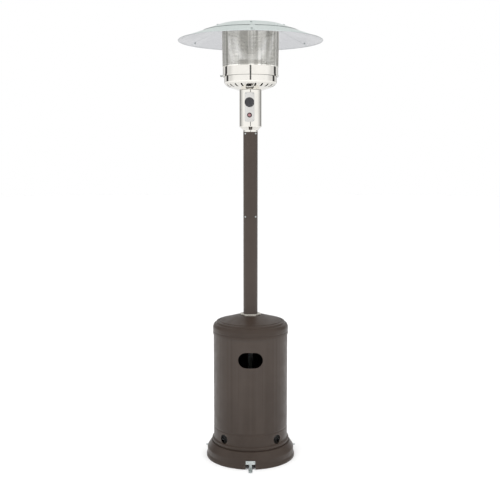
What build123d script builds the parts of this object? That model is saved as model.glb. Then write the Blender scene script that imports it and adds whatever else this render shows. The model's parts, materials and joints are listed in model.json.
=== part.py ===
from build123d import *
from math import cos, radians, sin
import os

# Free-standing propane patio heater, "mushroom" form, in millimetres.
# +Z is up, the origin is on the ground under the post's axis, and the control panel faces -Y.
# An azimuth is an angle about the post, 0 at the front (-Y), positive towards +X.

os.makedirs("parts", exist_ok=True)

# ---------------------------------------------------------------- driving dimensions

sheet = 1.2                  # pressed sheet of the housing, lid, bowl and control housing
head_yaw = -4.7              # the head is turned a little towards -X on the post
seam_yaw = 1.0               # the reflector's front seam, likewise

# base
base_sheet = 2.0
base_radius = 228.6
skirt_radius = 224.0
ledge_radius = 203.0
spigot_radius = 186.0
platform_height = 92.0
ledge_height = 79.0
shoulder_height = 46.0
flare_height = 20.0
rim_height = 10.0

# ground anchors
anchor_azimuths = {"front": 0, "right": 120, "left": -120}
anchor_plate = 3.0
anchor_bar = (47.0, 18.0)
anchor_bar_height = 34.0
anchor_stem_width = 14.0
anchor_foot_width = 18.0
anchor_reach = 276.0
anchor_hole_circle = 262.0
anchor_hole_radius = 4.5
anchor_notch = (50.0, 21.0)
anchor_screw_spread = 17.0
anchor_screw_radius = 2.5

# legs and post
leg_azimuths = {"rear": 180, "right": 70, "left": -70}
leg_width = 25.0
leg_thickness = 4.0
leg_radius = 183.5
leg_foot_radius = 150.0
leg_knee_height = 592.0
leg_hole_radius = 163.0
flange_height = 639.0
flange_thickness = 4.0
flange_radius = 66.0
flange_bolt_radius = 54.0
post_radius = 36.5
post_wall = 1.5
post_seam_height = 1266.0
post_top = 1674.0
joint_screw_height = 1247.0
head_screw_height = 1666.0
post_screw_azimuths = [45, 135, -135, -45]
post_screw_radius = 2.5
screw_clearance = 0.2        # between a screw's shank and the hole it passes
running_clearance = 0.05     # between a turning or sliding shaft and its bore

# tank housing and lid
housing_radius = 190.5
housing_top = 677.0
housing_bottom = 79.3
bead_radius = 198.5
swage_height = 160.5
vent_radius = 23.5
vent_height = 123.0
vent_azimuths = [45, 135, -135, -45]
hand_opening = (123.0, 79.0)
hand_opening_height = 543.0
hand_lip_depth = 6.0
lid_top = 740.0
lid_skirt_radius = 193.5
lid_bottom = 645.0
lid_bore = 38.5
lid_screw_azimuths = [100, 180, -100]
lid_screw_height = 650.0
lid_screw_radius = 2.0
collar_circumradius = 53.0
collar_height = 9.0
collar_bore = 37.0
collar_screw_azimuths = [30, 150, -90]
collar_screw_circle = 42.0

# control housing and its panel
control_radius = 56.0
control_bottom = 1700.0
control_top = 1883.0
control_neck_radius = 37.4
control_neck_height = 1683.0
spigot_depth = 46.0
panel_size = (48.0, 146.0)
panel_height = 1796.0
panel_face = 60.0            # distance of the panel's face from the post's axis
panel_screw_spread = (18.0, 66.0)
knob_height = 1819.0
knob_radius = 23.8
knob_travel = 4.0
igniter_height = 1756.0
igniter_bezel_depth = 3.6
button_travel = 6.0
tilt_switch_height = 1732.0
bracket_face = 42.0

# burner
bowl_radius = 132.0
bowl_flange_radius = 139.0
bowl_rim = 1952.0
slot_count = 22
slot_circle = 111.0
bowl_screw_azimuths = [head_yaw + quarter for quarter in (45, 135, -135, -45)]
bowl_screw_circle = 47.0
bowl_screw_radius = 2.5
lighting_hole_radius = 14.0
mixer_radius = 17.0
mixer_top = 1972.0
drum_radius = 84.0
drum_bottom = 1976.0
drum_slot_count = 30
pilot_distance = 100.0       # of the pilot, electrode and thermocouple from the axis
pilot_foot = 1925.0          # where the pilot and the electrode begin
pilot_spread = 14.0          # between them
tube_distance = 32.0         # of their lines from the axis inside the control housing

# emitter
band_radius = 139.0
band_top = 1996.0
screen_bottom = 1993.0
screen_top = 2172.0
screen_bottom_radius = 140.0
screen_top_radius = 142.5
screen_sheet = 0.8

# reflector
rim_radius = 361.7
rim_bottom = 2123.0
cone_slope = 0.362
reflector_sheet = 1.0
lap_gap = 0.05
cap_gap = 2.15               # between the panels' underside and the cap's
cap_flat_radius = 155.0
cap_radius = 243.0
panel_inner_radius = 166.0
lap_angle = 4.0
lap_root_angle = 1.6
panel_gap_angle = 0.2
seam_azimuths = [0, 120, -120]
inner_bolt_azimuths = [0, 60, 120, 180, -120, -60]
outer_bolt_radius = 328.0
inner_bolt_radius = 186.0
stud_circle = 110.0
stud_azimuths = [60, 180, -60]
stud_radius = 3.0
reflector_bolt_radius = 2.5
total_height = 2210.0


# ---------------------------------------------------------------- planes and shared shapes

def outward(azimuth):
    """Level direction that points away from the post."""
    return Vector(sin(radians(azimuth)), -cos(radians(azimuth)), 0)


def across(azimuth):
    """Level direction to the right of someone who faces that side of the heater."""
    return Vector(cos(radians(azimuth)), sin(radians(azimuth)), 0)


def facing(azimuth, distance, height):
    """Upright plane that faces outward, its local X level and its local Y up."""
    origin = outward(azimuth) * distance + Vector(0, 0, height)
    return Plane(origin=origin, x_dir=across(azimuth), z_dir=outward(azimuth))


def level(azimuth, height):
    """Level plane on the post's axis, its local X pointing outward."""
    return Plane(origin=(0, 0, height), x_dir=outward(azimuth), z_dir=(0, 0, 1))


def place(azimuth, distance, side, height):
    """Point at a distance outward, a distance to the right of it, and a height."""
    return outward(azimuth) * distance + across(azimuth) * side + Vector(0, 0, height)


def cone_height(radius):
    """Height of the reflector panels' underside."""
    return rim_bottom + cone_slope * (rim_radius - radius)


def on_cone(azimuth, radius, lift):
    """Plane square to the reflector's cone, that far above the panels' underside."""
    normal = (outward(azimuth) * cone_slope + Vector(0, 0, 1)).normalized()
    origin = outward(azimuth) * radius + Vector(0, 0, cone_height(radius))
    return Plane(origin=origin + normal * lift, x_dir=across(azimuth), z_dir=normal)


def outline(corners):
    """Closed half section. Each corner is a radius from the axis, a height and a fillet."""
    points = [(radius, height) for radius, height, _ in corners]
    FilletPolyline(*points, radius=[fillet_radius for _, _, fillet_radius in corners], close=True)


def prism(plane, radius, amount, sides=0, **options):
    """Round or many-sided prism that grows from the plane."""
    with BuildSketch(plane) as foot:
        if sides:
            RegularPolygon(radius, sides)
        else:
            Circle(radius)
    extrude(foot.sketch, amount=amount, **options)


def pan_screw(plane, shank_radius, length, head_radius, head_height):
    """Screw whose rounded head stands on the plane and whose shank goes in behind it."""
    prism(plane, shank_radius, -length)
    prism(plane, head_radius, head_height, taper=25)


def bolt_and_nut(plane, shank_radius, grip, head_radius, head_height):
    """Hex bolt with its head on the plane and its nut under a stack of that grip."""
    prism(plane, shank_radius, -grip - 1.6 * head_height)
    prism(plane, head_radius, head_height, sides=6)
    prism(plane.offset(-grip), head_radius, -head_height, sides=6)


def drill(plane, radius, reach):
    """Round hole through whatever lies within reach of the plane on both sides."""
    prism(plane, radius, reach, both=True, mode=Mode.SUBTRACT)


def tube_along(points, bend_radius, tube_radius):
    """Solid tube along straight runs joined by tangent arcs."""
    with BuildLine() as run:
        FilletPolyline(*points, radius=bend_radius)
    with BuildSketch(Plane(origin=run.line @ 0, z_dir=run.line % 0)) as bore:
        Circle(tube_radius)
    sweep(bore.sketch, path=run.line)


# ---------------------------------------------------------------- base

def base_section(inset, floor):
    """Half section under the pressed skin, drawn that far inside its outer surface."""
    outline([
        (0, floor, 0),
        (0, platform_height - inset, 0),
        (spigot_radius - inset, platform_height - inset, 3),
        (spigot_radius - inset, ledge_height - inset, 1),
        (ledge_radius - inset, ledge_height - inset, 4),
        (skirt_radius - inset, shoulder_height, 14),
        (skirt_radius - inset, flare_height, 8),
        (base_radius - inset, rim_height, 6),
        (base_radius - inset, floor, 0),
    ])


with BuildPart() as base_pan:
    with BuildSketch(Plane.XZ):
        with BuildLine():
            base_section(0, 0)
        make_face()
        with BuildLine():
            base_section(base_sheet, -base_sheet)
        make_face(mode=Mode.SUBTRACT)
    revolve(axis=Axis.Z)
    for azimuth in anchor_azimuths.values():
        with BuildSketch(facing(azimuth, base_radius + 10, 0)):
            Rectangle(*anchor_notch, align=(Align.CENTER, Align.MIN))
        extrude(amount=-25, mode=Mode.SUBTRACT)
        for side in (-anchor_screw_spread, anchor_screw_spread):
            with BuildSketch(facing(azimuth, base_radius + 10, anchor_bar_height)):
                with Locations((side, 0)):
                    Circle(anchor_screw_radius + screw_clearance)
            extrude(amount=-25, mode=Mode.SUBTRACT)
    for azimuth in leg_azimuths.values():
        with BuildSketch(level(azimuth, platform_height)):
            with Locations((leg_hole_radius, 0)):
                Circle(4 + screw_clearance)
        extrude(amount=5, both=True, mode=Mode.SUBTRACT)
base_pan.part.label = "base_pan"
export_step(base_pan.part, "parts/base_pan.step")

# Flat T bracket on the skirt whose stem drops through a notch in the rim and turns out
# into a foot with one anchor hole.
anchor_face = skirt_radius + 0.05
for corner, azimuth in anchor_azimuths.items():
    with BuildPart() as anchor_bracket:
        with BuildSketch(facing(azimuth, anchor_face, 0)):
            with Locations((0, anchor_bar_height)):
                RectangleRounded(*anchor_bar, 2.5)
            Rectangle(anchor_stem_width, anchor_bar_height, align=(Align.CENTER, Align.MIN))
        extrude(amount=anchor_plate)
        with BuildSketch(level(azimuth, 0)):
            with Locations((anchor_face, 0)):
                Rectangle(
                    anchor_reach - anchor_face - anchor_foot_width / 2,
                    anchor_foot_width,
                    align=(Align.MIN, Align.CENTER),
                )
            with Locations((anchor_reach - anchor_foot_width / 2, 0)):
                Circle(anchor_foot_width / 2)
            with Locations((anchor_hole_circle, 0)):
                Circle(anchor_hole_radius, mode=Mode.SUBTRACT)
        extrude(amount=anchor_plate)
        for side in (-anchor_screw_spread, anchor_screw_spread):
            with BuildSketch(facing(azimuth, anchor_face, anchor_bar_height)):
                with Locations((side, 0)):
                    Circle(anchor_screw_radius + screw_clearance)
            extrude(amount=anchor_plate, mode=Mode.SUBTRACT)
    anchor_bracket.part.label = f"anchor_bracket_{corner}"
    export_step(anchor_bracket.part, f"parts/anchor_bracket_{corner}.step")

with BuildPart() as anchor_screws:
    for azimuth in anchor_azimuths.values():
        for side in (-anchor_screw_spread, anchor_screw_spread):
            head = place(azimuth, anchor_face + anchor_plate, side, anchor_bar_height)
            pan_screw(Plane(origin=head, z_dir=outward(azimuth)), anchor_screw_radius, 12, 5, 2.8)
anchor_screws.part.label = "anchor_screws"
export_step(anchor_screws.part, "parts/anchor_screws.step")

# ---------------------------------------------------------------- legs and post

# Bent strip: foot tab on the platform, upright beside the housing wall, then in to the flange.
leg_run = [
    (leg_foot_radius, platform_height + leg_thickness / 2),
    (leg_radius, platform_height + leg_thickness / 2),
    (leg_radius, leg_knee_height),
    (78, flange_height - leg_thickness / 2),
    (42, flange_height - leg_thickness / 2),
]
for corner, azimuth in leg_azimuths.items():
    with BuildPart() as support_leg:
        upright = Plane(
            origin=(0, 0, 0),
            x_dir=outward(azimuth),
            z_dir=outward(azimuth).cross(Vector(0, 0, 1)),
        )
        with BuildLine(upright) as leg_path:
            FilletPolyline(*leg_run, radius=[7, 30, 20])
        with BuildSketch(Plane(origin=leg_path.line @ 0, x_dir=across(azimuth), z_dir=outward(azimuth))):
            Rectangle(leg_width, leg_thickness)
        sweep(path=leg_path.line)
        for distance, height in ((leg_hole_radius, platform_height), (flange_bolt_radius, flange_height)):
            with BuildSketch(level(azimuth, height)):
                with Locations((distance, 0)):
                    Circle(4 + screw_clearance)
            extrude(amount=2 * leg_thickness, both=True, mode=Mode.SUBTRACT)
    support_leg.part.label = f"support_leg_{corner}"
    export_step(support_leg.part, f"parts/support_leg_{corner}.step")

with BuildPart() as leg_bolts:
    for azimuth in leg_azimuths.values():
        foot_head = place(azimuth, leg_hole_radius, 0, platform_height + leg_thickness)
        bolt_and_nut(Plane(origin=foot_head), 4, leg_thickness + base_sheet, 7.5, 5.3)
        top_head = place(azimuth, flange_bolt_radius, 0, flange_height + flange_thickness)
        bolt_and_nut(Plane(origin=top_head), 4, flange_thickness + leg_thickness, 7.5, 5.3)
leg_bolts.part.label = "leg_bolts"
export_step(leg_bolts.part, "parts/leg_bolts.step")

with BuildPart() as post_flange:
    with BuildSketch(Plane.XY.offset(flange_height)):
        Circle(flange_radius)
        Circle(20, mode=Mode.SUBTRACT)
        for azimuth in leg_azimuths.values():
            with Locations(outward(azimuth) * flange_bolt_radius):
                Circle(4 + screw_clearance, mode=Mode.SUBTRACT)
    extrude(amount=flange_thickness)
post_flange.part.label = "post_flange"
export_step(post_flange.part, "parts/post_flange.step")

with BuildPart() as lower_post:
    with BuildSketch(Plane.XY.offset(flange_height + flange_thickness)):
        Circle(post_radius)
        Circle(post_radius - post_wall, mode=Mode.SUBTRACT)
    extrude(amount=post_seam_height - flange_height - flange_thickness)
    for azimuth in post_screw_azimuths:
        drill(facing(azimuth, post_radius, joint_screw_height), post_screw_radius + screw_clearance, 10)
lower_post.part.label = "lower_post"
export_step(lower_post.part, "parts/lower_post.step")

with BuildPart() as upper_post:
    with BuildSketch(Plane.XY.offset(post_seam_height)):
        Circle(post_radius)
        Circle(post_radius - post_wall, mode=Mode.SUBTRACT)
    extrude(amount=post_top - post_seam_height)
    for azimuth in post_screw_azimuths:
        drill(facing(azimuth, post_radius, head_screw_height), post_screw_radius + screw_clearance, 10)
upper_post.part.label = "upper_post"
export_step(upper_post.part, "parts/upper_post.step")

# Sleeve inside the two halves of the post.
coupler_radius = post_radius - post_wall - 0.1
with BuildPart() as post_coupler:
    with BuildSketch(Plane.XY.offset(post_seam_height - 60)):
        Circle(coupler_radius)
        Circle(coupler_radius - 2, mode=Mode.SUBTRACT)
    extrude(amount=120)
    for azimuth in post_screw_azimuths:
        drill(facing(azimuth, post_radius, joint_screw_height), post_screw_radius + screw_clearance, 10)
post_coupler.part.label = "post_coupler"
export_step(post_coupler.part, "parts/post_coupler.step")

with BuildPart() as post_screws:
    for height in (joint_screw_height, head_screw_height):
        for azimuth in post_screw_azimuths:
            pan_screw(facing(azimuth, post_radius, height), post_screw_radius, 7, 4.6, 2.5)
post_screws.part.label = "post_screws"
export_step(post_screws.part, "parts/post_screws.step")

# ---------------------------------------------------------------- tank housing and lid

def housing_section(inset, bottom, top):
    """Half section inside the tank housing's outer surface, with its bottom bead and swage."""
    swage = 6.5
    outline([
        (0, bottom, 0),
        (196 - inset, bottom, 0),
        (bead_radius - inset, 89, 5),
        (bead_radius - inset, 96, 4),
        (housing_radius - inset, 102, 4),
        (housing_radius - inset, swage_height - swage, 2),
        (housing_radius - inset - 1.6, swage_height, 4),
        (housing_radius - inset, swage_height + swage, 2),
        (housing_radius - inset, top, 0),
        (0, top, 0),
    ])


with BuildPart() as tank_housing:
    with BuildSketch(Plane.XZ):
        with BuildLine():
            housing_section(0, housing_bottom, housing_top)
        make_face()
        with BuildLine():
            housing_section(sheet, housing_bottom - 1, housing_top + 1)
        make_face(mode=Mode.SUBTRACT)
    revolve(axis=Axis.Z)
    # the hand opening's edge is turned in as a lip that follows the wall
    with BuildSketch(facing(0, 170, hand_opening_height)):
        SlotOverall(hand_opening[0] + 2 * sheet, hand_opening[1] + 2 * sheet)
    extrude(amount=25)
    with BuildSketch(Plane.XZ):
        with Locations((housing_radius + 10, hand_opening_height)):
            Rectangle(20, 120)
        with Locations(((housing_radius - hand_lip_depth) / 2, hand_opening_height)):
            Rectangle(housing_radius - hand_lip_depth, 120)
    revolve(axis=Axis.Z, mode=Mode.SUBTRACT)
    with BuildSketch(facing(0, 160, hand_opening_height)):
        SlotOverall(*hand_opening)
    extrude(amount=50, mode=Mode.SUBTRACT)
    for azimuth in vent_azimuths:
        drill(facing(azimuth, housing_radius, vent_height), vent_radius, 15)
    for azimuth in lid_screw_azimuths:
        drill(facing(azimuth, housing_radius, lid_screw_height), lid_screw_radius + screw_clearance, 8)
tank_housing.part.label = "tank_housing"
export_step(tank_housing.part, "parts/tank_housing.step")


def lid_section(inset, bottom):
    """Half section inside the lid: low dome, crease, sloping ring, shoulder and grooved skirt."""
    groove = lid_skirt_radius - inset - 1.4
    outline([
        (0, bottom, 0),
        (0, lid_top - inset, 0),
        (62, lid_top - inset, 90),
        (158, lid_top - 27 - inset, 2.5),
        (161.5, lid_top - 31 - inset, 1.5),
        (165, lid_top - 28.5 - inset, 2.5),
        (175 - inset / 2, lid_top - 32 - inset, 3),
        (178 - inset, lid_top - 39.5 - inset / 2, 2.5),
        (188 - inset / 2, lid_top - 44 - inset, 10),
        (lid_skirt_radius - inset, lid_top - 58, 8),
        (lid_skirt_radius - inset, lid_bottom + 20 + inset, 0.6),
        (groove, lid_bottom + 18 + inset, 0.6),
        (groove, lid_bottom + 12.5 - inset, 0.6),
        (lid_skirt_radius - inset, lid_bottom + 10.5 - inset, 0.6),
        (lid_skirt_radius - inset, bottom, 0),
    ])


with BuildPart() as housing_lid:
    with BuildSketch(Plane.XZ):
        with BuildLine():
            lid_section(0, lid_bottom)
        make_face()
        with BuildLine():
            lid_section(sheet, lid_bottom - 1)
        make_face(mode=Mode.SUBTRACT)
    revolve(axis=Axis.Z)
    drill(Plane.XY.offset(lid_top), lid_bore, 10)
    for azimuth in collar_screw_azimuths:
        collar_hole = Plane(origin=place(azimuth, collar_screw_circle, 0, lid_top))
        drill(collar_hole, lid_screw_radius + screw_clearance, 10)
    for azimuth in lid_screw_azimuths:
        drill(facing(azimuth, lid_skirt_radius, lid_screw_height), lid_screw_radius + screw_clearance, 8)
housing_lid.part.label = "housing_lid"
export_step(housing_lid.part, "parts/housing_lid.step")

# Six-sided collar that guides the lid on the post, one flat to the front.
with BuildPart() as lid_collar:
    with BuildSketch(Plane.XY.offset(lid_top)):
        RegularPolygon(collar_circumradius, 6)
        Circle(collar_bore, mode=Mode.SUBTRACT)
    extrude(amount=collar_height)
    chamfer(lid_collar.faces().sort_by(Axis.Z)[-1].outer_wire().edges(), 1.5)
    for azimuth in collar_screw_azimuths:
        screw_hole = Plane(origin=place(azimuth, collar_screw_circle, 0, lid_top))
        drill(screw_hole, lid_screw_radius + running_clearance, 6)
lid_collar.part.label = "lid_collar"
export_step(lid_collar.part, "parts/lid_collar.step")

# One size of screw holds the collar to the lid and the lid to the housing.
with BuildPart() as lid_screws:
    for azimuth in collar_screw_azimuths:
        head = place(azimuth, collar_screw_circle, 0, lid_top - sheet)
        pan_screw(Plane(origin=head, z_dir=(0, 0, -1)), lid_screw_radius, 6, 4, 2)
    for azimuth in lid_screw_azimuths:
        pan_screw(facing(azimuth, lid_skirt_radius, lid_screw_height), lid_screw_radius, 6, 4, 2)
lid_screws.part.label = "lid_screws"
export_step(lid_screws.part, "parts/lid_screws.step")

# ---------------------------------------------------------------- gas supply inside the post

valve_size = (34.0, 48.0)
valve_back = 8.0
valve_front = 38.0
valve_bottom = knob_height - valve_size[1] / 2
valve_top = knob_height + valve_size[1] / 2
valve_line = 17.0            # distance of the valve's gas line from the post's axis
supply_radius = 5.0
regulator_height = 596.0
regulator_top = 618.0

with BuildPart() as gas_supply_pipe:
    tube_along(
        [
            place(head_yaw, 0, 0, regulator_top),
            place(head_yaw, 0, 0, valve_bottom - 25),
            place(head_yaw, valve_line, 0, valve_bottom - 12),
            place(head_yaw, valve_line, 0, valve_bottom),
        ],
        8,
        supply_radius,
    )
gas_supply_pipe.part.label = "gas_supply_pipe"
export_step(gas_supply_pipe.part, "parts/gas_supply_pipe.step")

# Flanged bush that centres the pipe in the post's flange.
with BuildPart() as pipe_grommet:
    with BuildSketch(Plane.XZ):
        with BuildLine():
            outline([
                (supply_radius + 0.1, flange_height - 3, 0),
                (24, flange_height - 3, 1),
                (24, flange_height - 0.05, 0),
                (19.8, flange_height - 0.05, 0),
                (19.8, flange_height + 7, 1),
                (supply_radius + 0.1, flange_height + 7, 0),
            ])
        make_face()
    revolve(axis=Axis.Z)
pipe_grommet.part.label = "pipe_grommet"
export_step(pipe_grommet.part, "parts/pipe_grommet.step")

# Dished regulator on the pipe's end. Its level inlet stub points to the front and has a flange
# at its end that keeps the hand nut on.
stub_radius = 14.4
stub_end = 46.0               # from the post's axis to the front
stub_flange_radius = 16.4
stub_flange_thickness = 1.95
with BuildPart() as regulator:
    with BuildSketch(Plane.XZ):
        with BuildLine():
            outline([
                (0, regulator_height - 18, 0),
                (14, regulator_height - 18, 2),
                (16, regulator_height - 9, 1),
                (30, regulator_height - 6, 4),
                (30, regulator_height + 5, 4),
                (18, regulator_height + 11, 2),
                (9, regulator_height + 13, 1),
                (9, regulator_top, 0),
                (0, regulator_top, 0),
            ])
        make_face()
    revolve(axis=Axis.Z)
    with BuildSketch(facing(0, 20, regulator_height)):
        Circle(9)
    extrude(amount=16)
    with BuildSketch(facing(0, 34, regulator_height)):
        Circle(stub_radius)
    extrude(amount=stub_end - 34)
    with BuildSketch(facing(0, stub_end, regulator_height)):
        Circle(stub_flange_radius)
    extrude(amount=-stub_flange_thickness)
regulator.part.label = "regulator"
export_step(regulator.part, "parts/regulator.step")

# Hand nut that turns on the stub and screws onto a gas bottle's valve. The stub's flange lies in
# a recess between the nut's back lip and its threaded mouth.
nut_back = 37.0
nut_recess = 2.0
nut_mouth_radius = 16.7
nut_mouth_length = 20.0
with BuildPart() as coupling_nut:
    with BuildSketch(facing(0, nut_back, regulator_height)):
        Circle(22)
        with PolarLocations(23.6, 12):
            Circle(3, mode=Mode.SUBTRACT)
        Circle(stub_radius + 0.1, mode=Mode.SUBTRACT)
    extrude(amount=stub_end - nut_recess - nut_back)
    with BuildSketch(facing(0, stub_end - nut_recess, regulator_height)):
        Circle(20)
        Circle(stub_flange_radius + 1.2, mode=Mode.SUBTRACT)
    extrude(amount=nut_recess)
    with BuildSketch(facing(0, stub_end, regulator_height)):
        Circle(20)
        Circle(nut_mouth_radius, mode=Mode.SUBTRACT)
    extrude(amount=nut_mouth_length)
coupling_nut.part.label = "coupling_nut"
export_step(coupling_nut.part, "parts/coupling_nut.step")

# ---------------------------------------------------------------- control housing

def control_section(inset, bottom, step):
    """Half section inside the control housing, down to the spigot that enters the post."""
    spigot = post_radius - post_wall - 0.1
    outline([
        (0, bottom, 0),
        (0, control_top - inset, 0),
        (control_radius - inset, control_top - inset, 1.5),
        (control_radius - inset, control_bottom, 3),
        (control_neck_radius - inset, control_neck_height, 1.2),
        (control_neck_radius - inset, post_top + step, 0),
        (spigot - inset, post_top + step, 0),
        (spigot - inset, bottom, 0),
    ])


with BuildPart() as control_housing:
    with BuildSketch(Plane.XZ):
        with BuildLine():
            control_section(0, post_top - spigot_depth, 0)
        make_face()
        with BuildLine():
            control_section(sheet, post_top - spigot_depth - 1, sheet)
        make_face(mode=Mode.SUBTRACT)
    revolve(axis=Axis.Z)
    # cable and tube opening in the top, and the bowl's screw holes round it
    with BuildSketch(Plane.XY.offset(control_top)):
        Circle(40)
        for azimuth in bowl_screw_azimuths:
            with Locations(outward(azimuth) * bowl_screw_circle):
                Circle(bowl_screw_radius + screw_clearance)
    extrude(amount=5, both=True, mode=Mode.SUBTRACT)
    with BuildSketch(facing(head_yaw, 30, panel_height)):
        Rectangle(38, 116)
        for side in (-panel_screw_spread[0], panel_screw_spread[0]):
            for rise in (-panel_screw_spread[1], panel_screw_spread[1]):
                with Locations((side, rise)):
                    Circle(1.7)
    extrude(amount=40, mode=Mode.SUBTRACT)
    for azimuth in post_screw_azimuths:
        drill(facing(azimuth, post_radius, head_screw_height), post_screw_radius + screw_clearance, 10)
control_housing.part.label = "control_housing"
export_step(control_housing.part, "parts/control_housing.step")

# Shallow tray over the opening: flat face, sides that meet the round housing.
with BuildPart() as control_panel:
    with BuildSketch(facing(head_yaw, 30, panel_height)):
        RectangleRounded(*panel_size, 8)
    extrude(amount=panel_face - 30)
    fillet(control_panel.faces().sort_by(Axis.Y)[0].edges(), 1.2)
    with BuildSketch(facing(head_yaw, 30, panel_height)):
        RectangleRounded(panel_size[0] - 3, panel_size[1] - 3, 6.5)
    extrude(amount=panel_face - 30 - 1.5, mode=Mode.SUBTRACT)
    with BuildSketch(Plane.XY.offset(panel_height - panel_size[1])):
        Circle(control_radius + 0.05)
    extrude(amount=2 * panel_size[1], mode=Mode.SUBTRACT)
    drill(facing(head_yaw, panel_face, knob_height), 6, 8)
    drill(facing(head_yaw, panel_face, igniter_height), 9.1, 8)
    with BuildSketch(facing(head_yaw, panel_face, panel_height)):
        for side in (-panel_screw_spread[0], panel_screw_spread[0]):
            for rise in (-panel_screw_spread[1], panel_screw_spread[1]):
                with Locations((side, rise)):
                    Circle(1.7)
    extrude(amount=-8, mode=Mode.SUBTRACT)
control_panel.part.label = "control_panel"
export_step(control_panel.part, "parts/control_panel.step")

# Plate behind the opening that carries the valve, the igniter and the tilt switch.
bracket_thickness = 2.0
with BuildPart() as valve_bracket:
    with BuildSketch(facing(head_yaw, bracket_face - bracket_thickness, panel_height)):
        RectangleRounded(64, 148, 4)
        with Locations((0, knob_height - panel_height)):
            Circle(11.3, mode=Mode.SUBTRACT)
        with Locations((0, igniter_height - panel_height)):
            Circle(9.3, mode=Mode.SUBTRACT)
        for side in (-panel_screw_spread[0], panel_screw_spread[0]):
            for rise in (-panel_screw_spread[1], panel_screw_spread[1]):
                with Locations((side, rise)):
                    Circle(1.7, mode=Mode.SUBTRACT)
    extrude(amount=bracket_thickness)
valve_bracket.part.label = "valve_bracket"
export_step(valve_bracket.part, "parts/valve_bracket.step")

with BuildPart() as panel_screws:
    for side in (-panel_screw_spread[0], panel_screw_spread[0]):
        for rise in (-panel_screw_spread[1], panel_screw_spread[1]):
            head = place(head_yaw, panel_face, side, panel_height + rise)
            pan_screw(Plane(origin=head, z_dir=outward(head_yaw)), 1.5, 24, 2.8, 1.2)
panel_screws.part.label = "panel_screws"
export_step(panel_screws.part, "parts/panel_screws.step")

plug_radius = 7.5
stem_radius = 3.5
with BuildPart() as gas_valve:
    with BuildSketch(facing(head_yaw, valve_back, knob_height)):
        RectangleRounded(*valve_size, 3)
    extrude(amount=valve_front - valve_back)
    with BuildSketch(facing(head_yaw, valve_front, knob_height)):
        Circle(11)
    extrude(amount=8)
    with BuildSketch(facing(head_yaw, 20, knob_height)):
        Circle(plug_radius + running_clearance)
    extrude(amount=40, mode=Mode.SUBTRACT)
gas_valve.part.label = "gas_valve"
export_step(gas_valve.part, "parts/gas_valve.step")

# Rotor of the valve: it turns in the body, and the stem slides in its socket.
with BuildPart() as valve_plug:
    with BuildSketch(facing(head_yaw, 20.3, knob_height)):
        Circle(plug_radius)
    extrude(amount=25)
    with BuildSketch(facing(head_yaw, 26, knob_height)):
        Circle(stem_radius + running_clearance)
    extrude(amount=25, mode=Mode.SUBTRACT)
valve_plug.part.label = "valve_plug"
export_step(valve_plug.part, "parts/valve_plug.step")

knob_back = panel_face + knob_travel + 0.6
with BuildPart() as valve_stem:
    with BuildSketch(facing(head_yaw, 31, knob_height)):
        Circle(stem_radius)
    extrude(amount=knob_back + 10 - 31)
valve_stem.part.label = "valve_stem"
export_step(valve_stem.part, "parts/valve_stem.step")

# Fluted grip on a round skirt, with a raised pointer rib.
with BuildPart() as knob:
    with BuildSketch(facing(head_yaw, knob_back, knob_height)):
        Circle(knob_radius)
    extrude(amount=5)
    with BuildSketch(facing(head_yaw, knob_back + 5, knob_height)):
        Circle(knob_radius - 1)
    extrude(amount=12, taper=4)
    fillet(knob.faces().sort_by(Axis.Y)[0].edges(), 1.6)
    with BuildSketch(facing(head_yaw, knob_back + 5, knob_height)):
        with PolarLocations(knob_radius + 2.4, 10, start_angle=18):
            Circle(5)
    extrude(amount=13, mode=Mode.SUBTRACT)
    with BuildSketch(facing(head_yaw, knob_back + 16.5, knob_height)):
        with Locations((0, 8)):
            SlotOverall(16, 3, rotation=90)
    extrude(amount=1.6)
    with BuildSketch(facing(head_yaw, knob_back, knob_height)):
        Circle(stem_radius + running_clearance)
    extrude(amount=10.1, mode=Mode.SUBTRACT)
knob.part.label = "knob"
export_step(knob.part, "parts/knob.step")

barrel_radius = 9.0
plunger_radius = 7.2
button_front = panel_face + 3 + button_travel
with BuildPart() as igniter_body:
    with BuildSketch(facing(head_yaw, 20, igniter_height)):
        Circle(barrel_radius)
    extrude(amount=panel_face + 3 - 20)
    with BuildSketch(facing(head_yaw, 38, igniter_height)):
        Circle(plunger_radius + 0.3)
    extrude(amount=30, mode=Mode.SUBTRACT)
igniter_body.part.label = "igniter_body"
export_step(igniter_body.part, "parts/igniter_body.step")

with BuildPart() as igniter_bezel:
    with BuildSketch(facing(head_yaw, panel_face, igniter_height)):
        Circle(12.3)
    extrude(amount=igniter_bezel_depth)
    fillet(igniter_bezel.faces().sort_by(Axis.Y)[0].edges(), 1.4)
    with BuildSketch(facing(head_yaw, panel_face, igniter_height)):
        Circle(barrel_radius + 0.05)
    extrude(amount=5, mode=Mode.SUBTRACT)
igniter_bezel.part.label = "igniter_bezel"
export_step(igniter_bezel.part, "parts/igniter_bezel.step")

with BuildPart() as igniter_button:
    with BuildSketch(facing(head_yaw, 45, igniter_height)):
        Circle(plunger_radius)
    extrude(amount=button_front - 45)
    fillet(igniter_button.faces().sort_by(Axis.Y)[0].edges(), 2.6)
igniter_button.part.label = "igniter_button"
export_step(igniter_button.part, "parts/igniter_button.step")

# Safety switch that cuts the gas if the heater tips.
with BuildPart() as tilt_switch:
    with BuildSketch(facing(head_yaw, 22, tilt_switch_height)):
        RectangleRounded(24, 18, 2)
    extrude(amount=bracket_face - bracket_thickness - 22)
    with BuildSketch(facing(head_yaw, 16, tilt_switch_height)):
        with GridLocations(10, 1, 2, 1):
            Rectangle(1, 6)
    extrude(amount=6)
tilt_switch.part.label = "tilt_switch"
export_step(tilt_switch.part, "parts/tilt_switch.step")

# ---------------------------------------------------------------- burner

injector_bottom = control_top - 8
bowl_bottom = control_top
bowl_floor = bowl_bottom + sheet

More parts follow.
